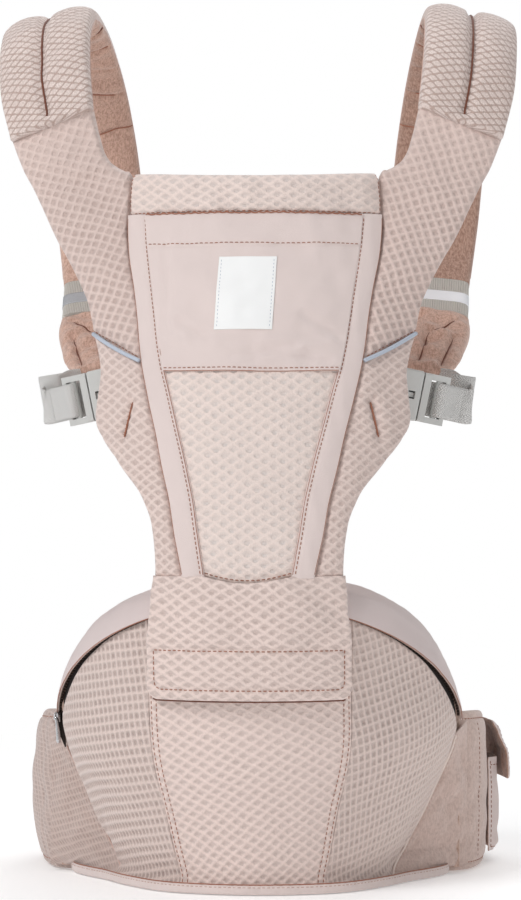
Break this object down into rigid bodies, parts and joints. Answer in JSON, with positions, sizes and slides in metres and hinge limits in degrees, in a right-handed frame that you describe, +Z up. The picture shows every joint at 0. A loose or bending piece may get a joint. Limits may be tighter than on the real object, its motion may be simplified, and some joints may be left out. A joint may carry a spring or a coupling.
{
  "type": "hip seat baby carrier",
  "caption": "Soft baby carrier with a foam hip seat, mesh body panel, padded shoulder straps, wraparound waistbelt, head support and side-release buckles.",
  "frame": {"origin": "centre of the flat underside of the hip seat, level with the surface the carrier stands on", "axes": "+Z up; -Y the outer front face of the panel and seat; +Y towards the wearer; +X the right-hand side of the carrier as seen from the front"},
  "size_m": [0.3742, 0.3947, 0.635],
  "materials": {
    "mesh_fabric": "padded 3D mesh, matt",
    "smooth_fabric": "smooth plain weave, matt",
    "lining_jersey": "heather jersey, matt",
    "foam": "closed cell foam",
    "webbing": "woven webbing",
    "plastic": "moulded acetal, satin",
    "metal": "plated zip hardware",
    "reflective": "retroreflective piping",
    "label": "woven label, plain",
    "tape": "hook and loop tape"
  },
  "bodies": {
    "seat": {"seat_foam_core": "foam", "seat_front_cover": "mesh_fabric", "seat_side_cover_left": "mesh_fabric", "seat_side_cover_right": "mesh_fabric", "seat_lid_cover": "smooth_fabric", "seat_base_panel": "plastic", "seat_back_pad": "lining_jersey", "seat_zip_chain": "smooth_fabric", "seat_hem_binding": "smooth_fabric", "seat_loop_tape": "tape"},
    "zip_slider": {"zip_slider": "metal"},
    "zip_pull": {"zip_pull": "metal"},
    "seat_flap": {"seat_flap": "mesh_fabric", "flap_hook_tape": "tape"},
    "belt_left": {"belt_pad_left": "mesh_fabric", "waist_webbing_left": "webbing", "waist_buckle_body": "plastic"},
    "belt_right": {"belt_pad_right": "mesh_fabric", "waist_webbing_right": "webbing", "pouch_body": "lining_jersey"},
    "pouch_flap": {"pouch_flap": "lining_jersey"},
    "waist_tongue": {"waist_buckle_tongue": "plastic"},
    "waist_prong_upper": {"waist_prong_upper": "plastic"},
    "waist_prong_lower": {"waist_prong_lower": "plastic"},
    "panel": {"panel_mesh_center": "mesh_fabric", "panel_pocket": "smooth_fabric", "panel_trim_left": "smooth_fabric", "panel_trim_right": "smooth_fabric", "panel_wing_left": "mesh_fabric", "panel_wing_right": "mesh_fabric", "panel_lining": "lining_jersey", "panel_label": "label", "shoulder_yoke_left": "mesh_fabric", "shoulder_yoke_right": "mesh_fabric", "strap_pad_left": "mesh_fabric", "strap_pad_right": "mesh_fabric", "strap_cuff_left": "webbing", "strap_cuff_right": "webbing", "strap_end_left": "lining_jersey", "strap_end_right": "lining_jersey", "strap_webbing": "webbing", "side_buckle_body_left": "plastic", "side_buckle_body_right": "plastic", "reflective_piping": "reflective", "buckle_tabs": "webbing", "chest_rails": "webbing"},
    "head_support": {"head_support": "mesh_fabric"},
    "chest_strap": {"chest_sliders": "plastic", "chest_webbing": "webbing", "chest_buckle_body": "plastic"},
    "chest_tongue": {"chest_buckle_tongue": "plastic"},
    "chest_prong_upper": {"chest_prong_upper": "plastic"},
    "chest_prong_lower": {"chest_prong_lower": "plastic"},
    "side_tongue_left": {"side_buckle_tongue_left": "plastic"},
    "side_prong_upper_left": {"side_prong_upper_left": "plastic"},
    "side_prong_lower_left": {"side_prong_lower_left": "plastic"},
    "side_tongue_right": {"side_buckle_tongue_right": "plastic"},
    "side_prong_upper_right": {"side_prong_upper_right": "plastic"},
    "side_prong_lower_right": {"side_prong_lower_right": "plastic"}
  },
  "joints": [
    {"name": "panel_fold", "type": "hinge", "parent": "seat", "child": "panel", "pos_m": [0, -0.1365, 0.2228], "axis": [1, 0, 0], "range_deg": [0, 60]},
    {"name": "head_support_fold", "type": "hinge", "parent": "panel", "child": "head_support", "pos_m": [0, -0.066, 0.4758], "axis": [1, 0, 0], "range_deg": [0, 150]},
    {"name": "seat_flap_lift", "type": "hinge", "parent": "seat", "child": "seat_flap", "pos_m": [0, -0.1415, 0.222], "axis": [-1, 0, 0], "range_deg": [0, 90]},
    {"name": "belt_left_swing", "type": "hinge", "parent": "seat", "child": "belt_left", "pos_m": [-0.143, 0.047, 0.05], "axis": [0, 0, 1], "range_deg": [0, 45]},
    {"name": "belt_right_swing", "type": "hinge", "parent": "seat", "child": "belt_right", "pos_m": [0.143, 0.047, 0.05], "axis": [0, 0, 1], "range_deg": [-45, 0]},
    {"name": "pouch_flap_lift", "type": "hinge", "parent": "belt_right", "child": "pouch_flap", "pos_m": [0.16501, 0.1449, 0.105], "axis": [0.2188, -0.9758, 0], "range_deg": [0, 110]},
    {"name": "waist_release", "type": "slide", "parent": "belt_right", "child": "waist_tongue", "axis": [1, 0, 0], "range_m": [0, 0.03]},
    {"name": "waist_button_upper", "type": "hinge", "parent": "waist_tongue", "child": "waist_prong_upper", "pos_m": [0, 0.243, 0.07], "axis": [0, -1, 0], "range_deg": [0, 7]},
    {"name": "waist_button_lower", "type": "hinge", "parent": "waist_tongue", "child": "waist_prong_lower", "pos_m": [0, 0.243, 0.03], "axis": [0, 1, 0], "range_deg": [0, 7]},
    {"name": "side_release_right", "type": "slide", "parent": "panel", "child": "side_tongue_right", "axis": [0.895, 0.4068, -0.1831], "range_m": [0, 0.022]},
    {"name": "side_button_upper_right", "type": "hinge", "parent": "side_tongue_right", "child": "side_prong_upper_right", "pos_m": [0.11866, -0.0289, 0.36024], "axis": [0.4002, -0.9135, -0.0735], "range_deg": [0, 7]},
    {"name": "side_button_lower_right", "type": "hinge", "parent": "side_tongue_right", "child": "side_prong_lower_right", "pos_m": [0.11334, -0.0291, 0.33376], "axis": [-0.4002, 0.9135, 0.0735], "range_deg": [0, 7]},
    {"name": "side_release_left", "type": "slide", "parent": "panel", "child": "side_tongue_left", "axis": [-0.895, 0.4068, -0.1831], "range_m": [0, 0.022]},
    {"name": "side_button_upper_left", "type": "hinge", "parent": "side_tongue_left", "child": "side_prong_upper_left", "pos_m": [-0.11866, -0.0289, 0.36024], "axis": [0.4002, 0.9135, 0.0735], "range_deg": [0, 7]},
    {"name": "side_button_lower_left", "type": "hinge", "parent": "side_tongue_left", "child": "side_prong_lower_left", "pos_m": [-0.11334, -0.0291, 0.33376], "axis": [-0.4002, -0.9135, -0.0735], "range_deg": [0, 7]},
    {"name": "chest_height", "type": "slide", "parent": "panel", "child": "chest_strap", "axis": [0, 0, 1], "range_m": [-0.035, 0.03]},
    {"name": "chest_release", "type": "slide", "parent": "chest_strap", "child": "chest_tongue", "axis": [1, 0, 0], "range_m": [0, 0.016]},
    {"name": "chest_button_upper", "type": "hinge", "parent": "chest_tongue", "child": "chest_prong_upper", "pos_m": [0, 0.175, 0.501], "axis": [0, -1, 0], "range_deg": [0, 7]},
    {"name": "chest_button_lower", "type": "hinge", "parent": "chest_tongue", "child": "chest_prong_lower", "pos_m": [0, 0.175, 0.479], "axis": [0, 1, 0], "range_deg": [0, 7]},
    {"name": "zip_run", "type": "hinge", "parent": "seat", "child": "zip_slider", "pos_m": [0.11388, 0.0302, 0.07999], "axis": [0.1198, 0.5123, 0.8504], "range_deg": [0, 20]},
    {"name": "zip_pull_swing", "type": "hinge", "parent": "zip_slider", "child": "zip_pull", "pos_m": [-0.15331, 0.02208, 0.12135], "axis": [-0.0617, 0.5022, 0.8625], "range_deg": [0, 150]}
  ],
  "couplings": [
    {"joint": "belt_right_swing", "follows": "belt_left_swing", "ratio": -1}
  ]
}
